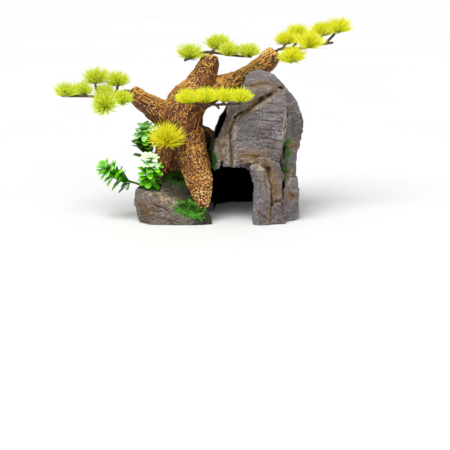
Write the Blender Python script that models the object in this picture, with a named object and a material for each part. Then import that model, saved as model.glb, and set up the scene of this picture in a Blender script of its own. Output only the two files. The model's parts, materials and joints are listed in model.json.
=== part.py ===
"""Resin cave ornament: a hollow rock cave, a leaning bonsai tree on a low rock and push-in plastic foliage.

Everything below is stated in millimetres and turned into metres by MM. +Z is up, +Y points to the back of
the ornament and the whole ornament stands on z = 0.
"""

import math

import bmesh
import bpy
import numpy as np
from mathutils import Matrix, Vector

MM = 0.001
NAME = "resin_cave_ornament"

# Driving dimensions, in millimetres.
GAP = 0.3  # left between pieces that touch
JOINT_X = 3.0  # plane where the base rock is glued to the cave rock
SKIRT = 6.0  # how far rock slabs run below the floor before they are cut flat
PEG_RADIUS = 1.9  # push-in peg of every sprig
SOCKET_RADIUS = 2.4  # drilled socket of every peg
PEG_LENGTH = 8.0
SOCKET_DEPTH = 9.0
TWIG_RADIUS = 1.5
STEM_RADIUS = 1.1
TUBE_RESOLUTION = 4  # twelve sides
TWIG_RESOLUTION = 1  # six sides

# Shape of a needle tuft and of a leaf whorl: points and rings, then width, height, lift and valley as
# shares of its reach.
TUFT_SHAPE = (6, 5, 0.8, 0.5, 0.25, 0.82)
WHORL_SHAPE = (5, 5, 1.0, 0.26, 0.06, 0.68)

# Colour and roughness of each material.
LOOKS = {
    "grey_rock": ((0.21, 0.19, 0.18), 0.8),
    "base_rock": ((0.17, 0.14, 0.11), 0.8),
    "bark": ((0.20, 0.08, 0.03), 0.65),
    "root_bark": ((0.33, 0.16, 0.05), 0.6),
    "twig": ((0.06, 0.03, 0.02), 0.5),
    "needles": ((0.56, 0.54, 0.04), 0.5),
    "stem": ((0.08, 0.20, 0.02), 0.5),
    "leaves": ((0.10, 0.38, 0.03), 0.45),
    "moss": ((0.06, 0.20, 0.03), 0.95),
}

# Convex rock slabs: corner points (x, y, z). Their union is the outside of each rock.
CAVE_SLABS = {
    "core": [
        (2, -14, -SKIRT), (30, -44, -SKIRT), (86, -40, -SKIRT), (89, -4, -SKIRT), (86, 36, -SKIRT),
        (66, 56, -SKIRT), (26, 58, -SKIRT), (2, 44, -SKIRT), (2, -8, 58), (26, -38, 60), (83, -36, 60),
        (89, -6, 72), (84, 32, 60), (64, 50, 62), (26, 52, 62), (4, 34, 64), (15, 20, 95), (15, 8, 91),
        (17, -22, 100), (34, -33, 112), (80, -30, 104), (94, -6, 98), (84, 24, 100), (60, 38, 104),
        (28, 36, 104), (32, -18, 122), (58, -25, 130), (76, -18, 122), (78, 4, 122), (54, 20, 126),
        (34, 14, 122),
    ],
    "main_slab": [
        (27, -46, 56), (45, -51, 62), (57, -53, 66), (73, -51, 62), (76, -50, 75), (81, -45, 93),
        (80, -38, 119), (77, -35, 130), (70, -34, 131), (57, -37, 123), (42, -40, 113), (29, -43, 98),
        (26, -46, 81), (28, -26, 58), (74, -26, 60), (80, -20, 110), (60, -16, 126), (30, -24, 100),
    ],
    "upper_slab": [
        (73, -32, 131), (64, -37, 134), (47, -37, 132), (38, -35, 128), (27, -35, 112), (28, -40, 103),
        (40, -42, 114), (56, -40, 124), (70, -10, 128), (44, -4, 130), (28, -18, 112),
    ],
    "top_cap": [
        (39, -25, 136), (45, -22, 145), (54, -20, 147), (64, -21, 143.5), (71, -22, 138.5), (78, -24, 131),
        (67, -33, 131), (48, -34, 132), (36, -28, 126), (42, -2, 140), (56, 4, 144), (70, 2, 138),
        (80, -2, 128), (38, -10, 120), (78, -6, 118),
    ],
    "right_slab": [
        (76, -34, 130), (79, -29, 130), (85, -26, 124), (91, -20, 115), (95.5, -16, 104),
        (98, -14, 96), (97, -16, 84), (94, -22, 69), (88, -28, 56), (80, -38, 48), (80, -42, 70),
        (84, -37, 100), (80, 6, 124), (90, 10, 104), (90, 10, 98), (86, 8, 58),
    ],
    "outer_rib": [
        (26, -31, 113), (14, -30, 82), (10, -32, 74), (8, -33, 66), (8, -36, 51), (15, -40, 49),
        (17, -39, 66), (21, -38, 88), (28, -36, 107), (28, -20, 110), (18, -16, 82), (12, -16, 52),
    ],
    "inner_rib": [
        (18, -41, 50), (27, -44, 54), (28, -43, 76), (31, -40, 100), (27, -38, 104), (20, -39, 84),
        (19, -40, 66), (20, -20, 52), (30, -20, 100), (28, -20, 54),
    ],
    "brow": [
        (44, -52, 61), (50, -56, 66), (60, -57, 66), (73, -55, 60), (78, -50, 46), (76, -51, 40),
        (66, -56, 54), (58, -58, 62), (48, -30, 58), (74, -30, 50),
    ],
    "pillar": [
        (45, -56, 58), (52, -59, 61), (60, -58, 55), (64, -58, 44), (65, -59, 22), (64, -60, -SKIRT),
        (52, -61, -SKIRT), (45, -56, -SKIRT), (45, -57, 14), (49, -56, 30), (46, -34, -SKIRT),
        (66, -34, -SKIRT), (48, -34, 56), (64, -34, 52),
    ],
    "middle_slab": [
        (60, -55, 54), (66, -56, 55), (76, -51, 42), (77, -50, 22), (68, -54, 16), (64, -56, 30),
        (62, -30, 50), (76, -30, 44), (78, -30, 14),
    ],
    "low_slab": [
        (66, -57, 18), (74, -55, 22), (80, -52, 10), (80, -54, -SKIRT), (64, -58, -SKIRT),
        (66, -30, 20), (80, -30, 20), (80, -30, -SKIRT), (66, -30, -SKIRT),
    ],
    "right_foot": [
        (93, -8, -SKIRT), (92, -6, 36), (90, 4, 43), (87, 32, 39), (90, 36, -SKIRT), (78, 0, -SKIRT),
        (78, 0, 40), (78, 32, 34), (80, 38, -SKIRT),
    ],
    "rear_slab": [
        (18, 46, -SKIRT), (36, 61, -SKIRT), (62, 60, -SKIRT), (66, 54, 34), (56, 54, 64), (32, 55, 70),
        (18, 46, 44), (22, 42, 64), (24, 30, -SKIRT), (62, 30, -SKIRT), (54, 30, 60),
    ],
    "rear_ridge": [
        (60, 46, 70), (84, 30, 66), (82, 24, 108), (62, 36, 118), (46, 38, 102), (48, 48, 74),
        (60, 10, 112), (80, 8, 108), (80, 10, 70),
    ],
    "rear_left": [
        (5, 24, 54), (15, 27, 91), (26, 33, 112), (36, 34, 84), (28, 48, 58), (8, 40, 56),
        (20, 12, 104), (20, 12, 70),
    ],
    "corner_block": [
        (79, -44, 44), (90, -40, 43), (93, -36, 32), (93, -37, 8), (88, -40, -SKIRT),
        (74, -48, -SKIRT), (76, -48, 16), (80, -6, 42), (92, -4, 38), (94, -4, -SKIRT),
        (78, -4, -SKIRT),
    ],
}
CAVE_CHAMBER = [
    (9, -16, -2 * SKIRT), (22, -46, -2 * SKIRT), (56, -32, -2 * SKIRT), (80, -28, -2 * SKIRT),
    (84, 0, -2 * SKIRT), (79, 30, -2 * SKIRT), (60, 46, -2 * SKIRT), (28, 49, -2 * SKIRT),
    (10, 36, -2 * SKIRT), (11, -16, 44), (24, -36, 50), (50, -31, 52), (74, -27, 50), (82, -4, 60),
    (76, 26, 58), (58, 41, 58), (28, 43, 58), (17, 26, 64), (20, -12, 76), (24, -22, 100),
    (70, -20, 102), (78, 0, 96), (72, 18, 96), (50, 26, 98), (28, 22, 98), (22, 8, 92), (46, -8, 114),
    (62, -4, 114),
]
CAVE_MOUTH = [
    (3, 0, -2 * SKIRT), (3, 0, 40), (9, 0, 50), (23, 0, 54), (36, 0, 54), (45, 0, 49), (48.5, 0, 38),
    (49, 0, 22), (46.5, 0, 8), (46.5, 0, -2 * SKIRT),
]
MOUTH_DEPTH = (-80, 4)
WINDOW_CENTRE = (8, -10, 95)
WINDOW_RADII = (26, 23, 18)
BASE_SLABS = {
    "front_boulder": [
        (-58.5, -50, -SKIRT), (-50, -58, -SKIRT), (-12, -60, -SKIRT), (11, -57, -SKIRT),
        (3, -28, -SKIRT), (-62, -8, -SKIRT), (-69.5, -42, 18), (-66.5, -46, 9), (-54, -59, 13),
        (-14, -60, 8), (4, -52, 13), (2, -44, 18), (-67.5, -37, 32), (-54, -50, 31), (-36, -53, 25),
        (-14, -52, 21), (-8, -30, 28), (-60, -6, 33),
    ],
    "ridge": [
        (-48, -42, 18), (-22, -50, 18), (0, -36, 18), (2, 8, 5), (-48, 8, 5), (-42, -36, 36),
        (-30, -41, 35), (-16, -38, 34), (-36, -16, 45), (-12, -18, 46), (2, -16, 36), (-45, -2, 42),
        (1, 6, 46),
    ],
    "back_block": [
        (-56, -8, -SKIRT), (6, -15, -SKIRT), (6, 42, -SKIRT), (-38, 46, -SKIRT), (-60, 20, -SKIRT),
        (-56, -4, 33), (-50, 30, 36), (-10, 42, 40), (6, 36, 42), (6, -4, 46), (-30, 8, 49),
        (-40, -8, 45),
    ],
}

# Tree castings: spine points (x, y, z, radius).
TREE = {
    "trunk": [
        (-24, 4, 30, 17), (-22, 1, 50, 18.5), (-22, -3, 70, 20.5), (-24, -5, 88, 21.5),
        (-21, -4, 103, 19.5), (-14, -1, 116, 18.5), (-4, 3, 123, 14.5),
    ],
    "left_limb": [
        (-30, -5, 92, 15), (-41, -8, 101, 13), (-51, -11, 108, 10.5), (-60, -13, 114.5, 8.5),
        (-66, -14, 119.5, 7.3), (-71, -15, 124, 6.4),
    ],
    "upper_limb": [
        (-10, 0, 117, 12.5), (-4, 2, 131, 13), (2, 3, 143, 10.5), (5, 4, 151, 8.6), (6, 5, 157, 7),
    ],
    "right_limb": [
        (-8, 2, 117, 15), (8, 6, 123.5, 11.8), (26, 12, 129, 9.4), (44, 18, 136, 9), (57, 21, 145, 9),
        (66, 22, 153.5, 8.6), (71, 22, 158.5, 7.6),
    ],
    "front_root": [
        (-17, -8, 82, 16), (-13, -19, 63, 15.5), (-7.5, -29, 48, 13.8), (-4, -37, 36, 11.2),
        (-2, -42, 26, 8.7), (-2, -45.5, 18.5, 6), (-2.2, -47, 14.5, 3.4),
    ],
    "side_root": [
        (-32, -8, 82, 13), (-38, -14, 66, 10), (-40, -18, 56, 7), (-39.5, -20, 49, 4.5),
        (-39, -21, 45, 2.6),
    ],
    "rear_root": [
        (-12, 2, 80, 12), (-3, 8, 76, 10.5), (4, 11, 72.5, 9.5), (6.5, 13, 65.5, 8.5),
        (6, 15, 57, 7), (6, 17, 49, 5), (5, 18, 43, 3.4),
    ],
}
# Pairs of castings where the second one ends on the first.
COPED = {
    ("trunk", "left_limb"), ("trunk", "upper_limb"), ("trunk", "right_limb"),
    ("trunk", "front_root"), ("trunk", "side_root"), ("trunk", "rear_root"),
    ("upper_limb", "right_limb"), ("left_limb", "side_root"),
    ("front_root", "side_root"), ("front_root", "rear_root"),
}

# Castings that each rock is hollowed out to seat.
SEATED = {
    "base_rock": ["trunk", "front_root", "side_root", "rear_root"],
    "cave_rock": ["right_limb", "rear_root"],
}

# Sprigs: socket point, outward peg axis, the castings that its socket is drilled in, twig branches
# (x, y, z) and needle tufts (hub x, y, z, reach), each tuft with the direction that it faces.
UP = (0, 0, 1)
SPRIGS = {
    "left": {
        "hosts": ["left_limb"],
        "socket": (-71, -15, 124),
        "axis": (-0.762, -0.127, 0.635),
        "branches": [
            [
                (-71, -15, 124), (-77, -16, 125.5), (-88, -17.5, 122), (-100, -18, 120), (-117, -19, 120.5),
                (-134, -23, 121),
            ],
            [(-100, -18, 120), (-107, -8, 127), (-107, -2, 134)],
            [(-88, -17.5, 122), (-86, -8, 126), (-86, 0, 131)],
            [(-88, -17.5, 122), (-92, -27, 118), (-95, -34, 113.5)],
            [(-79, -16.4, 125), (-79, -22, 121), (-79, -27, 117.5)],
            [(-115, -18.8, 120.5), (-120, -14, 124)],
            [(-132, -22.5, 121), (-134, -25, 124)],
            [(-100, -18, 120), (-98, -11, 122)],
        ],
        "tufts": [
            (-134, -25, 123.5, 11.5, UP), (-121, -11.5, 123.5, 10.5, UP), (-107, -2, 134, 13, UP),
            (-86, 0, 131, 12, UP), (-95.5, -36, 113.5, 13, (-0.1, -0.7, 0.6)),
            (-79, -27, 117.5, 10, (0.1, -0.4, 0.9)), (-98, -9, 121.5, 9.5, UP),
        ],
    },
    "top": {
        "hosts": ["upper_limb"],
        "socket": (6, 5, 157),
        "axis": (0.1, 0.1, 0.99),
        "branches": [
            [(6, 5, 157), (6.4, 5.4, 161), (-2, 4.5, 160.5), (-8, 3.8, 158), (-14, 3, 155), (-20, 2, 153)],
            [(6.4, 5.4, 161), (16, 4, 160), (27, 1, 158.5), (42, -1, 157.5), (47, -1.5, 157)],
            [(6.4, 5.4, 161), (10, 9, 163), (14, 13, 166)],
            [(-13, 3.1, 155.5), (-14, 2.5, 158)],
            [(25, 1.5, 158.7), (26, 0.5, 161)],
            [(43, -1, 157.5), (43, -1, 160)],
        ],
        "tufts": [
            (-14, 2.5, 157.5, 14, UP), (14, 14, 166, 14, UP), (25, -3, 161, 12, UP),
            (43.5, -1, 160, 12, UP),
        ],
    },
    "right": {
        "hosts": ["right_limb"],
        "socket": (71, 22, 158.5),
        "axis": (0.707, 0.0, 0.707),
        "branches": [
            [
                (71, 22, 158.5), (74, 22, 162), (85, 22, 163), (98, 21, 163.5), (112, 21, 166),
                (129, 22, 169),
            ],
            [(78, 22, 162.5), (81, 25, 166), (82, 27, 169)],
            [(88, 21.9, 163.1), (93, 32, 169), (94, 39, 174)],
            [(85, 22, 163), (87, 13, 158), (87.5, 8, 154)],
            [(98, 21, 163.5), (103, 15, 166), (105, 12, 168)],
            [(110, 21, 165.6), (117, 25, 173), (119, 27, 178)],
            [(120, 21.4, 167.4), (128, 22, 175), (133, 22, 182)],
        ],
        "tufts": [
            (82, 27, 169, 10.5, UP), (94, 41, 174.5, 11, UP), (87.5, 7, 154, 12, (-0.1, -0.4, 0.9)),
            (105, 11, 168, 13, (0, -0.3, 1)), (118, 29, 178, 11, UP), (134, 20, 181.5, 12, UP),
        ],
    },
    "middle": {
        "hosts": ["trunk"],
        "socket": (-10, -21.5, 108),
        "axis": (0.3, -0.9, 0.3),
        "branches": [
            [
                (-10, -21.5, 108), (-8.5, -26, 109.5), (-2, -40, 114), (9, -50, 116.5), (20, -52, 117),
                (35, -53, 117.5),
            ],
            [(-2, -40, 114), (-8, -45, 116.5), (-14.5, -48, 119.5)],
            [(6, -47.5, 115.9), (3, -50, 121)],
            [(19, -51.8, 117), (19.5, -52, 121.5)],
            [(34, -52.9, 117.4), (36, -53, 121.5)],
            [(12, -50.3, 116.6), (15, -53, 113)],
        ],
        "tufts": [
            (-15, -48.5, 119.5, 10.8, UP), (2.5, -50.5, 121, 10.6, UP), (19.5, -52, 121.5, 10.5, UP),
            (36, -53, 121.5, 10, UP),
        ],
    },
    "front": {
        "hosts": ["trunk", "side_root"],
        "socket": (-33, -22, 75),
        "axis": (-0.28, -0.87, 0.4),
        "branches": [[(-33, -22, 75), (-34.6, -28, 77), (-36, -36.5, 79)]],
        "tufts": [(-36.5, -37.5, 79.5, 19, (-0.05, -0.5, 0.86))],
    },
}

# Leafy plants: socket point, stem points and leaf whorls (x, y, z, reach).
PLANTS = {
    "front": {
        "socket": (-52, -33, 30),
        "stem": [(-52, -33, 30), (-52.5, -34.5, 40), (-53, -36, 52), (-53, -37, 61)],
        "whorls": [
            (-52.4, -34.2, 38, 10), (-52.8, -35.2, 45, 12), (-53, -36, 52, 13), (-53, -36.8, 59.5, 11),
        ],
    },
    "left": {
        "socket": (-61, -24, 32),
        "stem": [
            (-61, -24, 32), (-66, -26, 34.5), (-74, -29, 37.5), (-82, -31, 41.5), (-89, -32.8, 46),
            (-95, -34.4, 51.5),
        ],
        "whorls": [
            (-74, -29, 37.5, 10), (-81.5, -30.9, 41.2, 10.5), (-88.5, -32.7, 45.7, 11),
            (-94.5, -34.2, 51, 11),
        ],
    },
    "rear": {
        "socket": (-54, -8, 33),
        "stem": [(-54, -8, 33), (-55, -9, 50), (-57, -11, 68), (-59, -13, 86)],
        "whorls": [
            (-56, -10, 57.5, 10), (-57, -11, 66.5, 9), (-58, -12, 75.5, 12), (-58.8, -12.8, 84.5, 10),
        ],
    },
}

# Flocked moss pads: host rock, centre, radii, turn about Y in degrees, and the roots a pad grows round.
MOSS = {
    "front_moss": ("base_rock", (-13, -54, 15), (14, 6, 6), 12, ["front_root"]),
    "root_moss": ("base_rock", (-26, -27, 39), (9, 9, 5), 20, ["front_root", "side_root"]),
    "crack_moss": ("cave_rock", (80.5, -41, 62), (3.5, 4, 20), 6, []),
    "rim_moss": ("cave_rock", (9, -34, 58), (2.5, 3.5, 8), -4, []),
}


def clear_scene():
    for item in list(bpy.data.objects):
        bpy.data.objects.remove(item, do_unlink=True)


def new_collection(name):
    made = bpy.data.collections.new(name)
    bpy.context.scene.collection.children.link(made)
    return made


def new_material(name, look):
    colour, roughness = LOOKS[look]
    made = bpy.data.materials.new(name)
    made.use_nodes = True
    shader = made.node_tree.nodes["Principled BSDF"]
    shader.inputs["Base Color"].default_value = (*colour, 1)
    shader.inputs["Roughness"].default_value = roughness
    shader.inputs["Metallic"].default_value = 0
    made.diffuse_color = (*colour, 1)
    return made


def metres(point):
    return Vector(point[:3]) * MM


def object_from(bm, name, folder):
    """A mesh object from a bmesh, with its faces pointing out."""
    bmesh.ops.recalc_face_normals(bm, faces=bm.faces)
    mesh = bpy.data.meshes.new(name)
    bm.to_mesh(mesh)
    bm.free()
    made = bpy.data.objects.new(name, mesh)
    folder.objects.link(made)
    return made


def as_piece(item, look):
    """A sub-part: its own material, and smooth faces between sharp edges."""
    item.data.materials.clear()
    item.data.materials.append(new_material(item.name, look))
    item.data.shade_smooth()
    item.data.set_sharp_from_angle(angle=math.radians(38))
    return item


def as_cutter(item):
    item.hide_render = True
    item.display_type = "WIRE"
    return item


def hull(name, points, folder):
    """The convex solid around a set of corner points."""
    bm = bmesh.new()
    corners = [bm.verts.new(metres(p)) for p in points]
    made = bmesh.ops.convex_hull(bm, input=corners)
    inside = set(made["geom_interior"]) | set(made["geom_unused"])
    bmesh.ops.delete(bm, geom=[g for g in inside if isinstance(g, bmesh.types.BMVert)], context="VERTS")
    return object_from(bm, name, folder)


def block(name, low, high, folder):
    bm = bmesh.new()
    bmesh.ops.create_cube(bm, size=1)
    centre = (metres(low) + metres(high)) / 2
    sides = metres(high) - metres(low)
    bmesh.ops.transform(bm, matrix=Matrix.LocRotScale(centre, None, sides), verts=bm.verts)
    return object_from(bm, name, folder)


def blob(name, centre, radii, turn, folder, grow=0.0):
    """A round pad: a coarse sphere stretched to three radii and turned about Y."""
    bm = bmesh.new()
    bmesh.ops.create_icosphere(bm, subdivisions=2, radius=1)
    sizes = Vector([(r + grow) * MM for r in radii])
    spin = Matrix.Rotation(math.radians(turn), 4, "Y")
    place = Matrix.Translation(metres(centre)) @ spin @ Matrix.Diagonal((*sizes, 1))
    bmesh.ops.transform(bm, matrix=place, verts=bm.verts)
    return object_from(bm, name, folder)


def rod(name, start, axis, length, radius, sides, folder):
    """A straight round bar from a point, along an axis."""
    bm = bmesh.new()
    bmesh.ops.create_cone(
        bm, cap_ends=True, segments=sides, radius1=radius * MM, radius2=radius * MM, depth=length * MM
    )
    along = Vector(axis).normalized()
    place = Matrix.Translation(metres(start) + along * (length * MM / 2))
    place = place @ along.to_track_quat("Z", "Y").to_matrix().to_4x4()
    bmesh.ops.transform(bm, matrix=place, verts=bm.verts)
    return object_from(bm, name, folder)


def smooth_path(points, steps):
    """A Catmull-Rom curve through points of any number of values, steps pieces between each two."""
    p = np.array([points[0], *points, points[-1]], float)
    path = []
    for a, b, c, d in zip(p, p[1:], p[2:], p[3:]):
        for t in np.arange(steps) / steps:
            bend = 2 * a - 5 * b + 4 * c - d
            path.append(0.5 * (2 * b + (c - a) * t + bend * t * t + (3 * b - a - 3 * c + d) * t**3))
    path.append(p[-1])
    return path


def longer(spine, extra):
    """The same spine with both of its ends moved out by extra."""
    ends = []
    for end, inner in ((spine[0], spine[1]), (spine[-1], spine[-2])):
        outward = (Vector(end[:3]) - Vector(inner[:3])).normalized() * extra
        ends.append((*(Vector(end[:3]) + outward), end[3]))
    return [ends[0], *spine[1:-1], ends[1]]


def tube(name, spine, resolution, folder, grow=0.0):
    """A round tube along (x, y, z, radius) points, as a closed mesh, grown by grow all round."""
    curve = bpy.data.curves.new(name, "CURVE")
    curve.dimensions = "3D"
    curve.bevel_depth = MM
    curve.bevel_resolution = resolution
    curve.use_fill_caps = True
    line = curve.splines.new("POLY")
    line.points.add(len(spine) - 1)
    for point, (x, y, z, radius) in zip(line.points, longer(spine, grow)):
        point.co = (x * MM, y * MM, z * MM, 1)
        point.radius = radius + grow
    drawn = bpy.data.objects.new(name, curve)
    folder.objects.link(drawn)
    depsgraph = bpy.context.evaluated_depsgraph_get()
    mesh = bpy.data.meshes.new_from_object(drawn.evaluated_get(depsgraph))
    bpy.data.objects.remove(drawn)
    bm = bmesh.new()
    bm.from_mesh(mesh)
    bmesh.ops.remove_doubles(bm, verts=bm.verts, dist=0.01 * MM)
    return object_from(bm, name, folder)


def combine(target, other, operation):
    change = target.modifiers.new(other.name, "BOOLEAN")
    change.operation = operation
    change.solver = "EXACT"
    change.object = other


def rock(name, look, slabs, parts, cutters):
    """The union of convex slabs, cut flat at the floor."""
    first, *others = slabs
    made = as_piece(hull(name, slabs[first], parts), look)
    for slab in others:
        combine(made, as_cutter(hull(f"{name}_{slab}", slabs[slab], cutters)), "UNION")
    floor = block(f"{name}_floor", (-150, -150, -40), (150, 150, 0), cutters)
    combine(made, as_cutter(floor), "DIFFERENCE")
    return made


def build_cave_rock(parts, cutters):
    made = rock("cave_rock", "grey_rock", CAVE_SLABS, parts, cutters)
    chamber = hull("cave_chamber", CAVE_CHAMBER, cutters)
    mouth = hull("cave_mouth", [(x, y, z) for x, _, z in CAVE_MOUTH for y in MOUTH_DEPTH], cutters)
    window = blob("side_window", WINDOW_CENTRE, WINDOW_RADII, 0, cutters)
    joint = block("cave_joint", (-150, -150, -50), (JOINT_X + GAP / 2, 150, 150), cutters)
    for cut in (chamber, mouth, window, joint):
        combine(made, as_cutter(cut), "DIFFERENCE")
    return made


def build_base_rock(parts, cutters):
    made = rock("base_rock", "base_rock", BASE_SLABS, parts, cutters)
    joint = block("base_joint", (JOINT_X - GAP / 2, -27, -50), (150, 150, 150), cutters)
    combine(made, as_cutter(joint), "DIFFERENCE")
    return made


def build_tree(pieces, parts, cutters):
    """Trunk, limbs and roots. Each casting is coped to the ones before it, and seated in the rocks."""
    wider = {}
    for name, spine in TREE.items():
        look = "root_bark" if name == "front_root" else "bark"
        path = smooth_path(spine, 2)
        pieces[name] = as_piece(tube(name, path, TUBE_RESOLUTION, parts), look)
        wider[name] = as_cutter(tube(f"{name}_seat", path, TUBE_RESOLUTION, cutters, GAP))
    order = list(TREE)
    for i, name in enumerate(order):
        for earlier in order[:i]:
            if (earlier, name) in COPED:
                combine(pieces[name], wider[earlier], "DIFFERENCE")
    for host, names in SEATED.items():
        for name in names:
            combine(pieces[host], wider[name], "DIFFERENCE")
    return wider


def star_dome(name, hub, reach, axis, shape, folder):
    """A burst of foliage as one solid: a squashed sphere with every second meridian pulled in.

    shape is (points, rings, width, height, lift, valley), the last four as shares of the reach."""
    points, rings, width, height, lift, valley = shape
    bm = bmesh.new()
    bmesh.ops.create_uvsphere(bm, u_segments=2 * points, v_segments=rings, radius=1)
    for corner in bm.verts:
        turn = round(math.atan2(corner.co.y, corner.co.x) / (math.pi / points))
        pull = valley if turn % 2 else 1.0
        corner.co.x *= width * pull
        corner.co.y *= width * pull
        corner.co.z = corner.co.z * height + lift
    along = Vector(axis).normalized()
    place = Matrix.Translation(metres(hub)) @ along.to_track_quat("Z", "Y").to_matrix().to_4x4()
    bmesh.ops.transform(bm, matrix=place @ Matrix.Scale(reach * MM, 4), verts=bm.verts)
    return object_from(bm, name, folder)


def pivot(name, socket, axis, folder):
    """An empty on a sprig's peg axis, with its local Z along the axis."""
    made = bpy.data.objects.new(name, None)
    turn = Vector(axis).normalized().to_track_quat("Z", "Y")
    made.matrix_world = Matrix.LocRotScale(metres(socket), turn, None)
    made.empty_display_size = 5 * MM
    folder.objects.link(made)
    return made


def hold(item, carrier):
    """Parents a piece to its pivot and leaves it where it is."""
    item.parent = carrier
    item.matrix_parent_inverse = carrier.matrix_basis.inverted()


def drill(host, name, socket, axis, cutters):
    along = Vector(axis).normalized()
    start = Vector(socket) - along * SOCKET_DEPTH
    hole = rod(name, start, along, SOCKET_DEPTH + 6, SOCKET_RADIUS, 16, cutters)
    combine(host, as_cutter(hole), "DIFFERENCE")


def stalk(name, socket, axis, runs, radius, look, parts, cutters):
    """A peg with branches grown from it, and the same shape grown by the gap for what is fitted on it."""
    along = Vector(axis).normalized()
    start = Vector(socket) - along * PEG_LENGTH
    made = as_piece(rod(name, start, along, PEG_LENGTH + 2, PEG_RADIUS, 12, parts), look)
    wider = []
    for i, run in enumerate(runs):
        spine = [(*p, radius * (1 - 0.25 * t / (len(run) - 1))) for t, p in enumerate(run)]
        path = smooth_path(spine, 2)
        branch = as_cutter(tube(f"{name}_branch_{i + 1}", path, TWIG_RESOLUTION, cutters))
        combine(made, branch, "UNION")
        wider.append(as_cutter(tube(f"{name}_seat_{i + 1}", path, TWIG_RESOLUTION, cutters, GAP)))
    return made, wider


def near(run, hub, reach):
    """Whether a branch comes within reach of a hub."""
    return any((Vector(p) - Vector(hub)).length < reach for p in run)


def build_sprig(name, sprig, pieces, parts, cutters):
    carrier = pivot(f"{name}_sprig_pivot", sprig["socket"], sprig["axis"], parts)
    for host in sprig["hosts"]:
        drill(pieces[host], f"{name}_{host}_socket", sprig["socket"], sprig["axis"], cutters)
    twig_name = f"{name}_twig"
    twig, wider = stalk(
        twig_name, sprig["socket"], sprig["axis"], sprig["branches"], TWIG_RADIUS, "twig", parts, cutters
    )
    hold(twig, carrier)
    pieces[twig_name] = twig
    for i, (x, y, z, reach, axis) in enumerate(sprig["tufts"]):
        tuft_name = f"{name}_tuft_{i + 1}"
        tuft = as_piece(star_dome(tuft_name, (x, y, z), reach, axis, TUFT_SHAPE, parts), "needles")
        for run, cut in zip(sprig["branches"], wider):
            if near(smooth_path(run, 4), (x, y, z), 0.9 * reach):
                combine(tuft, cut, "DIFFERENCE")
        hold(tuft, carrier)
        pieces[tuft_name] = tuft


def build_plant(name, plant, pieces, parts, cutters):
    axis = Vector(plant["stem"][1]) - Vector(plant["stem"][0])
    carrier = pivot(f"{name}_plant_pivot", plant["socket"], axis, parts)
    drill(pieces["base_rock"], f"{name}_plant_socket", plant["socket"], axis, cutters)
    stem_name = f"{name}_stem"
    stem, wider = stalk(
        stem_name, plant["socket"], axis, [plant["stem"]], STEM_RADIUS, "stem", parts, cutters
    )
    hold(stem, carrier)
    pieces[stem_name] = stem
    spine = [Vector(p) for p in plant["stem"]]
    for i, (x, y, z, reach) in enumerate(plant["whorls"]):
        hub = Vector((x, y, z))
        nearest = min(range(len(spine) - 1), key=lambda k: (spine[k] + spine[k + 1] - 2 * hub).length)
        whorl_name = f"{name}_whorl_{i + 1}"
        along = spine[nearest + 1] - spine[nearest]
        whorl = as_piece(star_dome(whorl_name, hub, reach, along, WHORL_SHAPE, parts), "leaves")
        combine(whorl, wider[0], "DIFFERENCE")
        hold(whorl, carrier)
        pieces[whorl_name] = whorl


def build_moss(pieces, root_seats, parts, cutters):
    """Each pad sits in its own shallow bed in the rock, and is cut round the roots beside it."""
    for name, (host, centre, radii, turn, roots) in MOSS.items():
        pieces[name] = as_piece(blob(name, centre, radii, turn, parts), "moss")
        for root in roots:
            combine(pieces[name], root_seats[root], "DIFFERENCE")
        bed = as_cutter(blob(f"{name}_bed", centre, radii, turn, cutters, GAP))
        combine(pieces[host], bed, "DIFFERENCE")


def main():
    clear_scene()
    parts = new_collection(NAME)
    cutters = new_collection("cutters")
    pieces = {
        "cave_rock": build_cave_rock(parts, cutters),
        "base_rock": build_base_rock(parts, cutters),
    }
    root_seats = build_tree(pieces, parts, cutters)
    build_moss(pieces, root_seats, parts, cutters)
    for name, sprig in SPRIGS.items():
        build_sprig(name, sprig, pieces, parts, cutters)
    for name, plant in PLANTS.items():
        build_plant(name, plant, pieces, parts, cutters)


main()
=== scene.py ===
"""The looks of the resin cave ornament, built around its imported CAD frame.

The rocks and the tree are CAD solids remeshed finely and carved with numpy noise; needles, leaves and flock
are modelled one by one. Every piece is placed by the frame's own boxes and solids; only the sizes of leaves,
needles and paint strokes are set here. Lengths are in metres.
"""

import json
import math

import bpy
import numpy as np
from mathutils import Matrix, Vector


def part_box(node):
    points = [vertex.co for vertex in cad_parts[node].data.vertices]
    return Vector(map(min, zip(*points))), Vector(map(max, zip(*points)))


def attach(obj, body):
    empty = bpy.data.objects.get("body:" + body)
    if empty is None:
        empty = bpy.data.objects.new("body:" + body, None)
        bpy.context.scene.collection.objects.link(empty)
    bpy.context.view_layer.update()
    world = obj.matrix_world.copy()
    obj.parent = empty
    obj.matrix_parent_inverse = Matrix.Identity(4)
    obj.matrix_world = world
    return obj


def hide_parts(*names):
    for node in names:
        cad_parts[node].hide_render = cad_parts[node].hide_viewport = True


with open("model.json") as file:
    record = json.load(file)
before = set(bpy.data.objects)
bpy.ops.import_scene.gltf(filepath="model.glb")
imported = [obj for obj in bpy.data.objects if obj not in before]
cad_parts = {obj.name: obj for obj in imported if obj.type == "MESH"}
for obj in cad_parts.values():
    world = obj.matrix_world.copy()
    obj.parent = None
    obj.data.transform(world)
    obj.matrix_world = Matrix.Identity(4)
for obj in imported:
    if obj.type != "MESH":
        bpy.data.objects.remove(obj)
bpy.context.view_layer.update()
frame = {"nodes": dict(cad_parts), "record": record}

MM = 0.001
COARSE = 1.0
ROCK_VOXEL = 0.85 * MM * COARSE
BASE_VOXEL = 0.8 * MM * COARSE
BARK_VOXEL = 0.55 * MM * COARSE
TWIG_VOXEL = 0.45 * MM
JOINT_SWELL = 0.45 * MM  # closes the gaps between castings that are glued together

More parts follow.
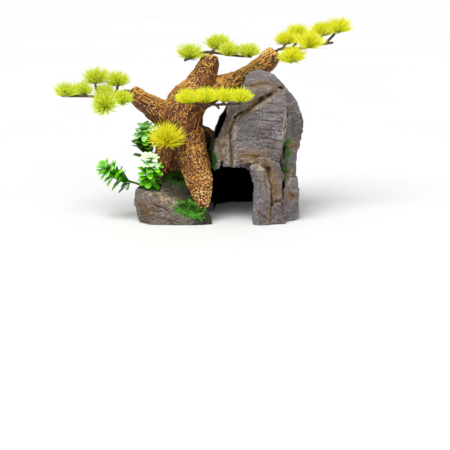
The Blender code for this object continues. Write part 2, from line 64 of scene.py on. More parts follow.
CAVE = "cave_rock"
BASE = "base_rock"
TREE_NODES = ["trunk", "left_limb", "upper_limb", "right_limb", "front_root", "side_root", "rear_root"]
MOSS_NODES = {"front_moss": BASE, "root_moss": BASE, "crack_moss": CAVE, "rim_moss": CAVE}
SPRIGS = ("left", "top", "right", "middle", "front")
PLANTS = ("front", "left", "rear")

CAMERA_LENS = 103.7
CAMERA_SENSOR = 36
CAMERA_PLACE = (0.0205, -1.28399, 0.29136)
CAMERA_DOWN = 13.368  # degrees below level


# ---------------------------------------------------------------- numbers


def hashed(cell, seed):
    """A number from 0 to 1 for each integer cell (n, 3)."""
    h = cell[:, 0] * 374761393 + cell[:, 1] * 668265263 + cell[:, 2] * 1440662683 + seed * 1274126177
    h = h & 0xFFFFFFFF
    h = ((h ^ (h >> 13)) * 1274126177) & 0xFFFFFFFF
    return ((h ^ (h >> 16)) & 0xFFFFFF) / 0xFFFFFF


def gradient_noise(points, seed):
    """Smooth noise from about -1 to 1 at (n, 3) points, one feature per unit."""
    base = np.floor(points).astype(np.int64)
    local = points - base
    fade = local**3 * (local * (local * 6 - 15) + 10)
    total = np.zeros(len(points))
    for corner in np.ndindex(2, 2, 2):
        offset = np.array(corner)
        turn = hashed(base + offset, seed) * 2 * np.pi
        height = hashed(base + offset, seed + 71) * 2 - 1
        flat = np.sqrt(1 - height * height)
        away = local - offset
        slope = away[:, 0] * flat * np.cos(turn) + away[:, 1] * flat * np.sin(turn) + away[:, 2] * height
        weight = np.prod(np.where(offset == 1, fade, 1 - fade), axis=1)
        total += slope * weight
    return total * 1.6


def fractal(points, seed, octaves):
    """Layers of gradient noise, each twice as fine."""
    total = np.zeros(len(points))
    share = 1.0
    for octave in range(octaves):
        total += share * gradient_noise(points * 2.03**octave + 17.3 * octave, seed + octave)
        share *= 0.5
    return total


def ridged(points, seed, octaves):
    """Sharp crests at 1 with round valleys between them, from 0 to 1."""
    total = np.zeros(len(points))
    share, whole = 1.0, 0.0
    for octave in range(octaves):
        crest = 1 - np.abs(gradient_noise(points * 2.1**octave + 9.1 * octave, seed + octave))
        total += share * np.clip(crest, 0, 1) ** 2
        whole += share
        share *= 0.5
    return total / whole


CELL_JITTER = 0.85  # how far a scattered point strays from the middle of its cell, in cells


def cells(points, seed):
    """Distance to the nearest and second nearest scattered points, and a random number per nearest one."""
    base = np.floor(points).astype(np.int64)
    first = np.full(len(points), 9.0)
    second = np.full(len(points), 9.0)
    owner = np.zeros(len(points))
    for corner in np.ndindex(3, 3, 3):
        cell = base + np.array(corner) - 1
        spot = cell + 0.5
        for axis in range(3):
            spot[:, axis] += CELL_JITTER * (hashed(cell, seed + 13 * axis) - 0.5)
        away = np.linalg.norm(points - spot, axis=1)
        nearer = away < first
        second = np.where(nearer, first, np.minimum(second, away))
        owner = np.where(nearer, hashed(cell, seed + 101), owner)
        first = np.where(nearer, away, first)
    return first, second, owner


def smoothstep(low, high, value):
    """0 up to low, 1 from high, and an even S curve between them."""
    t = np.clip((value - low) / (high - low), 0, 1)
    return t * t * (3 - 2 * t)


def unit(vectors):
    return vectors / np.maximum(np.linalg.norm(vectors, axis=-1, keepdims=True), 1e-12)


# ---------------------------------------------------------------- meshes


def coordinates(mesh):
    co = np.empty(len(mesh.vertices) * 3)
    mesh.vertices.foreach_get("co", co)
    return co.reshape(-1, 3)


def set_coordinates(mesh, co):
    mesh.vertices.foreach_set("co", co.astype(np.float32).ravel())
    mesh.update()


def normals(mesh):
    out = np.empty(len(mesh.vertices) * 3, np.float32)
    mesh.vertex_normals.foreach_get("vector", out)
    return out.reshape(-1, 3).astype(float)


def edge_pairs(mesh):
    pairs = np.empty(len(mesh.edges) * 2, np.int32)
    mesh.edges.foreach_get("vertices", pairs)
    return pairs.reshape(-1, 2)


def relaxed(values, pairs, rounds):
    """Values per vertex, averaged with their neighbours a number of times."""
    a, b = pairs.T
    size = len(values)
    share = 1 / np.maximum(np.bincount(pairs.ravel(), minlength=size), 1)
    columns = values.reshape(size, -1).copy()
    for _ in range(rounds):
        for k in range(columns.shape[1]):
            column = columns[:, k]
            total = np.bincount(a, column[b], size) + np.bincount(b, column[a], size)
            columns[:, k] = 0.5 * column + 0.5 * total * share
    return columns.reshape(values.shape)


def bulge(co, nrm, pairs, rounds):
    """How far each vertex stands out of its smoothed surroundings: above 0 on ridges, below 0 in cracks."""
    return np.einsum("ij,ij->i", co - relaxed(co, pairs, rounds), nrm)


def store(mesh, name, values):
    layer = mesh.attributes.get(name) or mesh.attributes.new(name, "FLOAT", "POINT")
    layer.data.foreach_set("value", np.asarray(values, np.float32))


def new_object(name, mesh):
    made = bpy.data.objects.new(name, mesh)
    bpy.context.scene.collection.objects.link(made)
    return made


def joined_copies(name, nodes, swell):
    """One mesh of copies of CAD nodes, each swollen along its normals."""
    points, faces = [], []
    for node in nodes:
        mesh = frame["nodes"][node].data
        start = sum(len(p) for p in points)
        points.append(coordinates(mesh) + normals(mesh) * swell)
        faces += [[start + v for v in face.vertices] for face in mesh.polygons]
    mesh = bpy.data.meshes.new(name)
    mesh.from_pydata(np.concatenate(points).tolist(), [], faces)
    return mesh


def remeshed(name, nodes, voxel, swell=0.0):
    """CAD nodes as one even mesh of small quads."""
    rough = new_object(name + "_rough", joined_copies(name, nodes, swell))
    change = rough.modifiers.new("voxels", "REMESH")
    change.mode = "VOXEL"
    change.voxel_size = voxel
    shape = rough.evaluated_get(bpy.context.evaluated_depsgraph_get())
    mesh = bpy.data.meshes.new_from_object(shape)
    mesh.name = name
    bpy.data.objects.remove(rough)
    return new_object(name, mesh)


def finished(piece, body, material, nodes):
    """Smooth shading, material, body, slot and the CAD nodes that the piece stands for."""
    piece.data.shade_smooth()
    piece.data.materials.clear()
    piece.data.materials.append(material)
    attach(piece, body)
    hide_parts(*nodes)
    return piece


def box_of(node):
    low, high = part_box(node)
    return np.array(low), np.array(high)


def middle(node):
    low, high = box_of(node)
    return (low + high) / 2


# ---------------------------------------------------------------- materials


class Graph:
    """A short way to write a material's nodes."""

    def __init__(self, name):
        self.material = bpy.data.materials.new(name)
        self.material.use_nodes = True
        self.tree = self.material.node_tree
        self.shader = self.tree.nodes["Principled BSDF"]

    def link(self, value, socket):
        if isinstance(value, bpy.types.NodeSocket):
            self.tree.links.new(value, socket)
        elif isinstance(value, tuple) and len(value) == 3:
            socket.default_value = (*value, 1)
        else:
            socket.default_value = value

    def attribute(self, name):
        node = self.tree.nodes.new("ShaderNodeAttribute")
        node.attribute_name = name
        return node.outputs["Fac"]

    def place(self, stretch=(1, 1, 1)):
        """The object's own coordinates, in metres, scaled along each axis."""
        source = self.tree.nodes.new("ShaderNodeTexCoord")
        scaled = self.tree.nodes.new("ShaderNodeMapping")
        scaled.inputs["Scale"].default_value = stretch
        self.tree.links.new(source.outputs["Object"], scaled.inputs["Vector"])
        return scaled.outputs["Vector"]

    def noise(self, scale, detail=4, rough=0.55, stretch=(1, 1, 1)):
        node = self.tree.nodes.new("ShaderNodeTexNoise")
        node.inputs["Scale"].default_value = scale
        node.inputs["Detail"].default_value = detail
        node.inputs["Roughness"].default_value = rough
        self.tree.links.new(self.place(stretch), node.inputs["Vector"])
        return node.outputs["Fac"]

    def math(self, operation, a, b=0.0, clamp=False):
        node = self.tree.nodes.new("ShaderNodeMath")
        node.operation = operation
        node.use_clamp = clamp
        self.link(a, node.inputs[0])
        self.link(b, node.inputs[1])
        return node.outputs[0]

    def spread(self, value, low, high, to_low=0.0, to_high=1.0):
        """value from low..high onto to_low..to_high, smooth at both ends."""
        node = self.tree.nodes.new("ShaderNodeMapRange")
        node.interpolation_type = "SMOOTHSTEP"
        self.link(value, node.inputs["Value"])
        for name, number in (("From Min", low), ("From Max", high), ("To Min", to_low), ("To Max", to_high)):
            node.inputs[name].default_value = number
        return node.outputs["Result"]

    def mix(self, factor, a, b):
        node = self.tree.nodes.new("ShaderNodeMix")
        node.data_type = "RGBA"
        self.link(factor, node.inputs["Factor"])
        self.link(a, node.inputs["A"])
        self.link(b, node.inputs["B"])
        return node.outputs["Result"]

    def bump(self, height, strength, distance):
        node = self.tree.nodes.new("ShaderNodeBump")
        node.inputs["Strength"].default_value = strength
        node.inputs["Distance"].default_value = distance
        self.link(height, node.inputs["Height"])
        return node.outputs["Normal"]

    def finish(self, colour, roughness, normal=None, **inputs):
        self.link(colour, self.shader.inputs["Base Color"])
        self.link(roughness, self.shader.inputs["Roughness"])
        if normal is not None:
            self.link(normal, self.shader.inputs["Normal"])
        for name, value in inputs.items():
            self.link(value, self.shader.inputs[name.replace("_", " ")])
        return self.material


def srgb(red, green, blue):
    """A colour given as 0-255 display values, as the linear values that a shader takes."""
    out = []
    for value in (red, green, blue):
        v = value / 255
        out.append(v / 12.92 if v <= 0.04045 else ((v + 0.055) / 1.055) ** 2.4)
    return tuple(out)


def rock_material(name, pale, mid, deep, brown):
    """Cast resin rock: grey washes, brown in its cracks, pale and cream dry-brushing on its edges, green by
    the moss, painted shade and dark moss by the roots, and painted black shade inside."""
    g = Graph(name)
    blotch = g.spread(g.noise(38, 5, 0.6), 0.36, 0.66)
    tint = g.mix(blotch, mid, deep)
    strokes = g.noise(150, 5, 0.65, (0.45, 0.45, 1.7))
    tint = g.mix(g.math("MULTIPLY", g.spread(strokes, 0.52, 0.7), 0.5), tint, pale)
    tint = g.mix(g.math("MULTIPLY", g.spread(strokes, 0.47, 0.32), 0.55), tint, tuple(c * 0.45 for c in deep))
    stain = g.math("MULTIPLY", g.attribute("stain"), g.spread(g.noise(70, 4, 0.6), 0.2, 0.52), clamp=True)
    tint = g.mix(stain, tint, brown)
    tint = g.mix(g.attribute("crack"), tint, tuple(c * 0.14 for c in brown))
    speckle = g.spread(g.noise(420, 3, 0.7), 0.47, 0.66)
    brushed = g.math("ADD", 0.4, g.math("MULTIPLY", speckle, 0.7))
    edge = g.math("MULTIPLY", g.attribute("edge"), brushed, clamp=True)
    tint = g.mix(edge, tint, pale)
    cream = g.math("MULTIPLY", g.attribute("cream"), g.spread(g.noise(230, 4, 0.8), 0.42, 0.6), clamp=True)
    tint = g.mix(g.math("MULTIPLY", cream, 0.7), tint, srgb(196, 178, 148))
    green = g.math("MULTIPLY", g.attribute("moss"), g.spread(g.noise(160, 4, 0.6), 0.32, 0.6), clamp=True)
    tint = g.mix(green, tint, srgb(58, 96, 36))
    # painted shade by the trunk and roots, mottled with dark moss green
    shadow = g.mix(g.spread(g.noise(110, 4, 0.6), 0.4, 0.62), srgb(30, 24, 14), srgb(34, 52, 14))
    tint = g.mix(g.math("MULTIPLY", g.attribute("root_shade_and_moss"), 0.9), tint, shadow)
    # painted shade: near-black on the cave's inner walls, the mouth's left jamb and the side window's rim
    tint = g.mix(g.attribute("inside"), tint, srgb(7, 6, 6))
    shine = g.math("MULTIPLY", g.math("SUBTRACT", 1.0, g.attribute("inside"), clamp=True), 0.3)
    grain = g.math("ADD", g.noise(900, 3, 0.7), g.math("MULTIPLY", g.noise(260, 4, 0.65), 1.6))
    normal = g.bump(grain, 0.55, 0.6 * MM)
    return g.finish(tint, g.spread(g.noise(300, 2), 0.3, 0.7, 0.62, 0.85), normal, Specular_IOR_Level=shine)


def bark_material():
    """Brown resin bark: near-black furrows, red-brown flanks and gold dry-brushing on the crests, with
    painted light from above as more gold where the bark looks up.
    """
    g = Graph("bark_paint")
    # crest holds the gold dry-brushing together with painted top light
    crest = g.attribute("crest")
    root = g.attribute("root")
    fleck = g.noise(560, 4, 0.75)
    warm = g.mix(g.spread(g.noise(90, 3), 0.35, 0.65), srgb(80, 38, 20), srgb(124, 70, 34))
    tint = g.mix(g.spread(crest, 0.16, 0.48), srgb(34, 16, 11), warm)
    brushed = g.math("ADD", crest, g.math("MULTIPLY", g.math("SUBTRACT", fleck, 0.5), 0.9))
    patches = g.spread(g.noise(60, 3), 0.35, 0.65)
    gold = g.mix(patches, srgb(196, 134, 46), srgb(228, 178, 86))
    gold = g.mix(root, gold, g.mix(patches, srgb(186, 124, 56), srgb(246, 200, 124)))
    shine = g.mix(root, g.spread(brushed, 0.56, 0.8), g.spread(brushed, 0.38, 0.7))
    tint = g.mix(shine, tint, gold)
    pits = g.spread(g.noise(420, 3, 0.7), 0.42, 0.3)
    tint = g.mix(g.math("MULTIPLY", pits, 0.7), tint, srgb(44, 22, 14))
    tint = g.mix(g.attribute("shade"), tint, srgb(30, 18, 12))
    height = g.math("ADD", fleck, g.math("MULTIPLY", g.noise(1100, 2), 0.5))
    normal = g.bump(height, 0.6, 0.5 * MM)
    return g.finish(tint, 0.52, normal, Specular_IOR_Level=0.35)


def twig_material():
    g = Graph("twig_plastic")
    tint = g.mix(g.spread(g.noise(300, 3), 0.35, 0.65), srgb(44, 28, 20), srgb(92, 62, 44))
    return g.finish(tint, 0.5, g.bump(g.noise(700, 3), 0.6, 0.4 * MM))


def needle_material(name, root_colour, body_colour, tip_colour):
    """Soft plastic needles that pale from a green root to a yellow tip and let some light through, with a
    painted glow towards the tip.
    """
    g = Graph(name)
    along = g.attribute("along")
    tone = g.attribute("tone")
    tint = g.mix(g.spread(along, 0.0, 0.5), root_colour, body_colour)
    tint = g.mix(g.spread(along, 0.4, 1.0), tint, tip_colour)
    shaded = tuple(c * f for c, f in zip(body_colour, (0.5, 0.66, 0.6)))
    tint = g.mix(g.math("MULTIPLY", tone, 0.55), tint, shaded)
    # painted glow: the needles give off light towards their tips, standing in for light shining through them
    glow = g.math("MULTIPLY", g.spread(along, 0.1, 0.8), 0.16)
    return g.finish(
        tint, 0.45, None, Subsurface_Weight=0.3, Subsurface_Scale=2 * MM, Specular_IOR_Level=0.2,
        Emission_Color=tint, Emission_Strength=glow,
    )


def leaf_material():
    """Moulded leaves: dark at the heart, bright green out to a paler rim, and white where bleached; the
    lighter and the white leaves carry a painted glow.
    """
    g = Graph("leaf_plastic")
    along = g.attribute("along")
    tint = g.mix(g.spread(along, 0.1, 0.8), srgb(28, 100, 0), srgb(96, 204, 4))
    tint = g.mix(g.spread(along, 0.75, 1.0), tint, srgb(176, 240, 84))
    tint = g.mix(g.math("MULTIPLY", g.attribute("tone"), 0.9), tint, srgb(26, 76, 0))
    tint = g.mix(g.attribute("pale"), tint, srgb(246, 252, 232))
    veins = g.bump(g.noise(500, 2), 0.25, 0.3 * MM)
    # painted glow on the lighter leaves, and more on the white ones
    glow = g.math("MULTIPLY", g.math("SUBTRACT", 1.0, g.attribute("tone"), clamp=True), 0.2)
    glow = g.math("ADD", glow, g.math("MULTIPLY", g.attribute("pale"), 0.25))
    return g.finish(
        tint, 0.5, veins, Subsurface_Weight=0.2, Subsurface_Scale=1.5 * MM, Specular_IOR_Level=0.12,
        Emission_Color=tint, Emission_Strength=glow,
    )


def stem_material():
    g = Graph("stem_plastic")
    tint = g.mix(g.spread(g.noise(200, 3), 0.35, 0.65), srgb(34, 84, 16), srgb(84, 140, 44))
    return g.finish(tint, 0.45, g.bump(g.noise(500, 2), 0.3, 0.3 * MM))


def moss_material():
    g = Graph("moss_flock")
    tint = g.mix(g.spread(g.noise(240, 4), 0.35, 0.65), srgb(48, 118, 24), srgb(106, 196, 56))
    tint = g.mix(g.math("MULTIPLY", g.attribute("tone"), 0.6), tint, srgb(150, 220, 90))
    tint = g.mix(g.attribute("shade"), tint, srgb(24, 44, 12))
    return g.finish(tint, 0.9, g.bump(g.noise(900, 3), 0.6, 0.4 * MM), Specular_IOR_Level=0.1)


# ---------------------------------------------------------------- rocks


# Seams on the front of each rock: a few points as shares of its box (along X, up Z), half width and depth in
# mm, then how dark and how brown they are painted.
SEAMS = {
    CAVE: [
        ([(0.45, 0.9), (0.6, 0.92), (0.75, 0.87)], 1.5, 1.6, 0.45, 1.0),
        ([(0.7, 0.87), (0.45, 0.77), (0.27, 0.67)], 1.7, 3.0, 0.8, 1.0),
        ([(0.27, 0.67), (0.22, 0.6), (0.24, 0.53)], 1.1, 2.2, 0.7, 1.0),
        ([(0.24, 0.53), (0.25, 0.37)], 1.6, 2.6, 1.0, 0.9),
        ([(0.18, 0.62), (0.16, 0.5)], 0.9, 1.4, 0.5, 0.7),
        ([(0.12, 0.52), (0.14, 0.43)], 1.8, 1.2, 0.3, 1.0),
        ([(0.14, 0.43), (0.16, 0.37)], 1.0, 1.3, 0.5, 0.6),
        ([(0.38, 0.48), (0.34, 0.38)], 0.9, 1.2, 0.5, 0.4),
        ([(0.38, 0.45), (0.56, 0.45), (0.64, 0.35), (0.7, 0.2)], 3.0, 1.4, 0.2, 1.0),
        ([(0.62, 0.4), (0.66, 0.25), (0.67, 0.15)], 1.0, 1.8, 0.9, 1.0),
        ([(0.64, 0.15), (0.76, 0.15), (0.78, 0.2)], 1.1, 1.6, 0.7, 0.7),
        ([(0.66, 0.14), (0.64, 0.02)], 0.9, 1.3, 0.5, 0.9),
        ([(0.77, 0.14), (0.8, 0.02)], 1.0, 1.5, 0.7, 0.4),
        ([(0.83, 0.76), (0.8, 0.6), (0.74, 0.43), (0.78, 0.33), (0.78, 0.17)], 1.4, 2.4, 0.8, 0.5),
        ([(0.8, 0.33), (0.93, 0.3)], 1.5, 1.2, 0.3, 1.0),
        ([(0.8, 0.5), (0.93, 0.5)], 2.4, 0.6, 0.1, 1.0),
        ([(0.86, 0.19), (0.89, 0.17)], 1.8, 1.6, 0.8, 1.0),
        ([(0.3, 0.6), (0.3, 0.5)], 0.8, 0.8, 0.3, 0.2),
        ([(0.5, 0.3), (0.6, 0.28)], 0.8, 0.9, 0.3, 0.5),
        ([(0.5, 0.1), (0.6, 0.05)], 1.4, 1.0, 0.7, 0.3),
    ],
    BASE: [
        ([(0.3, 0.65), (0.4, 0.5), (0.5, 0.45)], 1.2, 1.5, 0.6, 0.8),
        ([(0.2, 0.47), (0.45, 0.32)], 1.0, 1.2, 0.5, 0.6),
        ([(0.07, 0.38), (0.15, 0.1)], 1.2, 1.4, 0.5, 0.6),
        ([(0.14, 0.3), (0.2, 0.26)], 3.0, 0.6, 0.1, 1.0),
        ([(0.25, 0.2), (0.5, 0.05)], 1.0, 1.2, 0.5, 0.5),
        ([(0.6, 0.5), (0.9, 0.3)], 1.2, 1.4, 0.6, 0.6),
    ],
}


def slab_crack(k):
    """The kth of the fine cracks that lie one below the other across the cave's slab."""
    drop = 0.055 * k
    line = [(0.42 + 0.08 * (k % 2), 0.8 - drop), (0.6, 0.79 - drop), (0.76, 0.79 - 0.06 * k)]
    return line, 0.7, 1.0, 0.55, 0.1


SLAB_CRACKS = 6
SEAMS[CAVE] += [slab_crack(k) for k in range(SLAB_CRACKS)]
# Where the same fronts are dry-brushed with cream: points as shares of the box again, then half width in mm.
CREAM = {
    CAVE: [
        ([(0.44, 0.41), (0.52, 0.41), (0.57, 0.36)], 2.4),
        ([(0.08, 0.52), (0.1, 0.37)], 1.5),
        ([(0.17, 0.56), (0.17, 0.45)], 1.6),
        ([(0.21, 0.58), (0.21, 0.4)], 1.3),
        ([(0.3, 0.52), (0.28, 0.4)], 1.6),
        ([(0.3, 0.7), (0.28, 0.54)], 1.3),
        ([(0.68, 0.83), (0.46, 0.74)], 1.1),
        ([(0.81, 0.78), (0.78, 0.6)], 1.1),
        ([(0.47, 0.88), (0.66, 0.89)], 1.4),
        ([(0.88, 0.33), (0.82, 0.24)], 1.3),
    ],
    BASE: [
        ([(0.15, 0.62), (0.3, 0.66)], 2.6),
        ([(0.34, 0.56), (0.56, 0.42)], 4.0),
    ],
}
WINDOW_REACH = 34 * MM  # how far the side window's sawn rim lies from the middle of its opening
ROOT_SHADE_REACH = {CAVE: 1.9, BASE: 3.1}  # how far the painted shade and dark moss by the tree reach, in radii of its roots
CORE_SHARE = 0.88  # the share of the cave's half box that holds its inner walls
CORE_TOP = 0.6  # the same upwards


def near_moss(co, host):
    """From 0 to 1, how close each point is to one of the host rock's moss pads."""
    closeness = np.zeros(len(co))
    for node, rock in MOSS_NODES.items():
        if rock == host:
            low, high = box_of(node)
            reach = (high - low) / 2 + 4 * MM
            away = np.linalg.norm((co - (low + high) / 2) / reach, axis=1)
            closeness = np.maximum(closeness, 1 - smoothstep(0.55, 1.2, away))
    return closeness


def near_line(flat, line):
    """Distance from flat (n, 2) points to a line through a few corners."""
    nearest = np.full(len(flat), 1e9)
    for start, end in zip(line, line[1:]):
        step = end - start
        t = np.clip((flat - start) @ step / (step @ step), 0, 1)
        nearest = np.minimum(nearest, np.linalg.norm(flat - start - t[:, None] * step, axis=1))
    return nearest


def near_roots(co, reach):
    """From 0 to 1, how close each point is to the trunk and its roots, where painted shade and dark moss go.
    reach is where that ends, in radii of the root."""
    closeness = np.zeros(len(co))
    for node in ("trunk", "front_root", "side_root"):
        _, distance = limb_coordinates(co, *spine_of(node, middle("left_limb")))
        closeness = np.maximum(closeness, 1 - smoothstep(1.3, reach, distance))
    return closeness


def seam_fields(co, nrm, host):
    """Depth in metres, darkness and brownness of the host's seams at each point of its front."""
    low, high = box_of(host)
    warp = np.stack([fractal(co / (7 * MM), 900 + k, 2) for k in range(2)], 1)
    flat = co[:, [0, 2]] + 0.9 * MM * warp
    front = smoothstep(0.0, 0.35, -nrm[:, 1]) * (co[:, 1] < (low + 0.6 * (high - low))[1])
    patchy = 0.65 + 0.35 * smoothstep(-0.5, 0.4, fractal(co / (6 * MM), 950, 2))
    depth, dark, brown = np.zeros(len(co)), np.zeros(len(co)), np.zeros(len(co))
    for shares, width, deep, darkness, brownness in SEAMS[host]:
        line = low[[0, 2]] + np.array(shares) * (high - low)[[0, 2]]
        away = near_line(flat, line) / (width * MM)
        near = np.exp(-away * away) * front * patchy
        depth = np.maximum(depth, deep * MM * near)
        dark = np.maximum(dark, darkness * near)
        brown = np.maximum(brown, brownness * np.exp(-((away / 2.2) ** 2)) * front)
    return depth, dark, brown


def ledges(position, seed_field):
    """Broken layers: each one stands further out towards its lip and then drops back sharply."""
    t = position + seed_field
    layer = np.floor(t)
    rise = t - layer
    own = hashed(np.stack([layer.astype(np.int64)] * 3, 1), 5)
    return rise**1.6 * (0.35 + 0.65 * own)


def strata(co, low, high):
    """Heights from 0 to 1 of layers that lie flat on a dome and stand upright on its foot and left ribs."""
    warp = fractal(co / (26 * MM), 5, 3)
    small = fractal(co / (9 * MM), 8, 2)
    lying = ledges(co[:, 2] / (7.5 * MM), 1.1 * warp + 0.3 * small + co[:, 0] / (60 * MM))
    upright = ledges(co[:, 0] / (7 * MM) + co[:, 1] / (11 * MM), 1.3 * warp + 0.35 * small)
    share = (co - low) / (high - low)
    foot = 1 - smoothstep(0.36, 0.46, share[:, 2] + 0.05 * warp)
    ribs = 1 - smoothstep(0.2, 0.27, share[:, 0] + 0.03 * warp)
    standing = np.maximum(foot, ribs)
    return lying * (1 - standing) + upright * standing


def relief(co, layers, seed):
    """Lumps, chipped plates, layers and grit, in metres along the normals."""
    lumps = fractal(co / (19 * MM), seed, 3)
    bent = np.stack([gradient_noise(co / (8 * MM) + 4.1 * k, seed + 60 + k) for k in range(3)], 1)
    first, second, owner = cells(co / (10 * MM) + 0.35 * bent, seed + 7)
    plates = (owner - 0.5) * smoothstep(0.02, 0.16, second - first)
    first, second, owner = cells(co / (4.4 * MM) + 0.3 * bent, seed + 9)
    chips = (owner - 0.5) * smoothstep(0.02, 0.2, second - first)
    scars = ridged(co / np.array([9, 9, 3.4]) / MM + 0.8 * bent, seed + 21, 2)
    grit = fractal(co / (2.4 * MM), seed + 40, 2)
    patchy = smoothstep(-0.45, 0.35, fractal(co / (17 * MM), seed + 80, 2))
    broken = 0.7 * chips * patchy + 1.6 * (layers - 0.3) * patchy - 1.1 * smoothstep(0.72, 0.98, scars)
    return (0.9 * lumps + 0.9 * plates + broken + 0.25 * grit) * MM


def cream_field(co, nrm, host):
    """From 0 to 1, how near each point of the front is to a line of dry-brushed cream."""
    low, high = box_of(host)
    bright = np.zeros(len(co))
    for shares, width in CREAM[host]:
        line = low[[0, 2]] + np.array(shares) * (high - low)[[0, 2]]
        away = near_line(co[:, [0, 2]], line) / (width * MM)
        bright = np.maximum(bright, np.exp(-away * away))
    return bright * smoothstep(0.0, 0.35, -nrm[:, 1])


def shape_rock(mesh, host, layers, hidden, seed):
    """Moves the surface, then stores the masks that its paint follows."""
    pairs = edge_pairs(mesh)
    co, nrm = coordinates(mesh), normals(mesh)
    low, _ = box_of(host)
    depth, dark, brown = seam_fields(co, nrm, host)
    creases = np.clip(bulge(co, nrm, pairs, 16) / MM, -1.5, 0) * MM
    grounded = smoothstep(0.0, 2.5 * MM, co[:, 2] - low[2])
    move = (relief(co, layers, seed) - depth + creases) * grounded * (1 - 0.6 * hidden)
    co = co + nrm * move[:, None]
    co[:, 2] = np.maximum(co[:, 2], low[2])
    set_coordinates(mesh, co)
    nrm = normals(mesh)
    fine = bulge(co, nrm, pairs, 4) / MM
    broad = bulge(co, nrm, pairs, 26) / MM
    drift = fractal(co / (22 * MM), seed + 61, 3)
    valley = smoothstep(0.35, 1.6, -broad)
    crack = np.maximum(dark, 0.75 * smoothstep(0.12, 0.5, -fine)) + 0.5 * valley**2
    store(mesh, "crack", np.clip(crack, 0, 1))
    store(mesh, "stain", np.clip(brown + smoothstep(0.25, 0.9, valley + 0.35 * drift), 0, 1))
    store(mesh, "edge", smoothstep(0.06, 0.36, fine) * (0.45 + 0.55 * smoothstep(-0.3, 0.4, drift)))
    store(mesh, "moss", near_moss(co, host))
    # painted shade and dark moss by the trunk and roots
    store(mesh, "root_shade_and_moss", near_roots(co, ROOT_SHADE_REACH[host]))
    store(mesh, "cream", cream_field(co, nrm, host))
    # where the black painted shade of the cave's inside goes
    store(mesh, "inside", hidden)


def inside_mask(mesh):
    """1 where black painted shade goes: on the cave's inner walls, on the mouth's left jamb and on the sawn
    rim of the side window.
    """
    co, nrm = coordinates(mesh), normals(mesh)
    low, high = box_of(CAVE)
    centre = (low + high) / 2
    heart = np.tile(centre, (len(co), 1))
    heart[:, 1] += 0.02 * (high - low)[1]
    heart[:, 2] = np.clip(co[:, 2], 0, centre[2])
    facing_in = smoothstep(0.0, 0.25, np.einsum("ij,ij->i", unit(heart - co), nrm))
    share = (co - centre) / (high - low) * 2
    core = (np.abs(share[:, 0]) < CORE_SHARE) & (np.abs(share[:, 1]) < CORE_SHARE) & (share[:, 2] < CORE_TOP)

    boxes = frame["record"]["physics"]["openings"]
    openings = {opening["name"]: np.array(opening["box_m"]) for opening in boxes}
    mouth_low, mouth_high = openings["mouth_left"]
    beside = (co[:, 0] < mouth_high[0]) * (co[:, 1] > mouth_low[1]) * (co[:, 1] < mouth_high[1] + 6 * MM)
    below = 1 - smoothstep(-4 * MM, 0.0, co[:, 2] - mouth_high[2])
    jamb = beside * below * smoothstep(3 * MM, 11 * MM, co[:, 2])

    away = openings["side_window"].mean(0) - co
    rim = smoothstep(-0.05, 0.15, np.einsum("ij,ij->i", unit(away), nrm))
    rim = rim * (np.linalg.norm(away, axis=1) < WINDOW_REACH)
    return np.maximum(np.maximum(facing_in * core, rim), jamb)


def build_cave(material):
    piece = remeshed("cave_rock_skin", [CAVE], ROCK_VOXEL)
    mesh = piece.data
    low, high = box_of(CAVE)
    pairs = edge_pairs(mesh)
    set_coordinates(mesh, relaxed(coordinates(mesh), pairs, 2))
    # the mask of the black painted shade inside; the carving is also softer there
    hidden = relaxed(inside_mask(mesh), pairs, 3)
    shape_rock(mesh, CAVE, strata(coordinates(mesh), low, high), hidden, 3)
    return finished(piece, "ornament", material, [CAVE])


def build_base(material):
    piece = remeshed("base_rock_skin", [BASE], BASE_VOXEL)
    mesh = piece.data
    set_coordinates(mesh, relaxed(coordinates(mesh), edge_pairs(mesh), 3))
    co = coordinates(mesh)
    warp = fractal(co / (24 * MM), 15, 3)
    layers = ledges(co[:, 2] / (8 * MM) - co[:, 0] / (45 * MM), 1.4 * warp)
    shape_rock(mesh, BASE, layers, np.zeros(len(co)), 50)
    return finished(piece, "ornament", material, [BASE])


# ---------------------------------------------------------------- tree


SPINE_SLICES = 7


def spine_of(node, start):
    """A limb's centre line: the middles of slices of its CAD solid, from the end nearest to start."""
    co = coordinates(frame["nodes"][node].data)
    centre = co.mean(0)
    axis = np.linalg.svd(co - centre, full_matrices=False)[2][0]
    if (np.asarray(start) - centre) @ axis > 0:
        axis = -axis
    along = (co - centre) @ axis
    cuts = np.linspace(along.min(), along.max() + 1e-9, SPINE_SLICES + 1)
    points, radii = [], []
    for low, high in zip(cuts, cuts[1:]):
        inside = (along >= low) & (along < high)
        if inside.sum() > 3:
            slice_points = co[inside]
            spot = (slice_points.min(0) + slice_points.max(0)) / 2
            points.append(spot)
            flat = slice_points - spot
            flat = flat - np.outer(flat @ axis, axis)
            radii.append(np.percentile(np.linalg.norm(flat, axis=1), 80))
    return np.array(points), np.array(radii)


def frames_along(points):
    """Two steady cross directions at each spine point."""
    tangents = unit(np.gradient(points, axis=0))
    side = unit(np.cross(tangents[0], [0.3, -0.8, 0.52]))
    sides = []
    for tangent in tangents:
        side = unit(side - tangent * (side @ tangent))
        sides.append(side)
    sides = np.array(sides)
    return sides, np.cross(tangents, sides)


# How far a limb's own frame runs on past its first and last spine points, in lengths of the end steps.
START_OVERRUN = -0.6
END_OVERRUN = 3.5


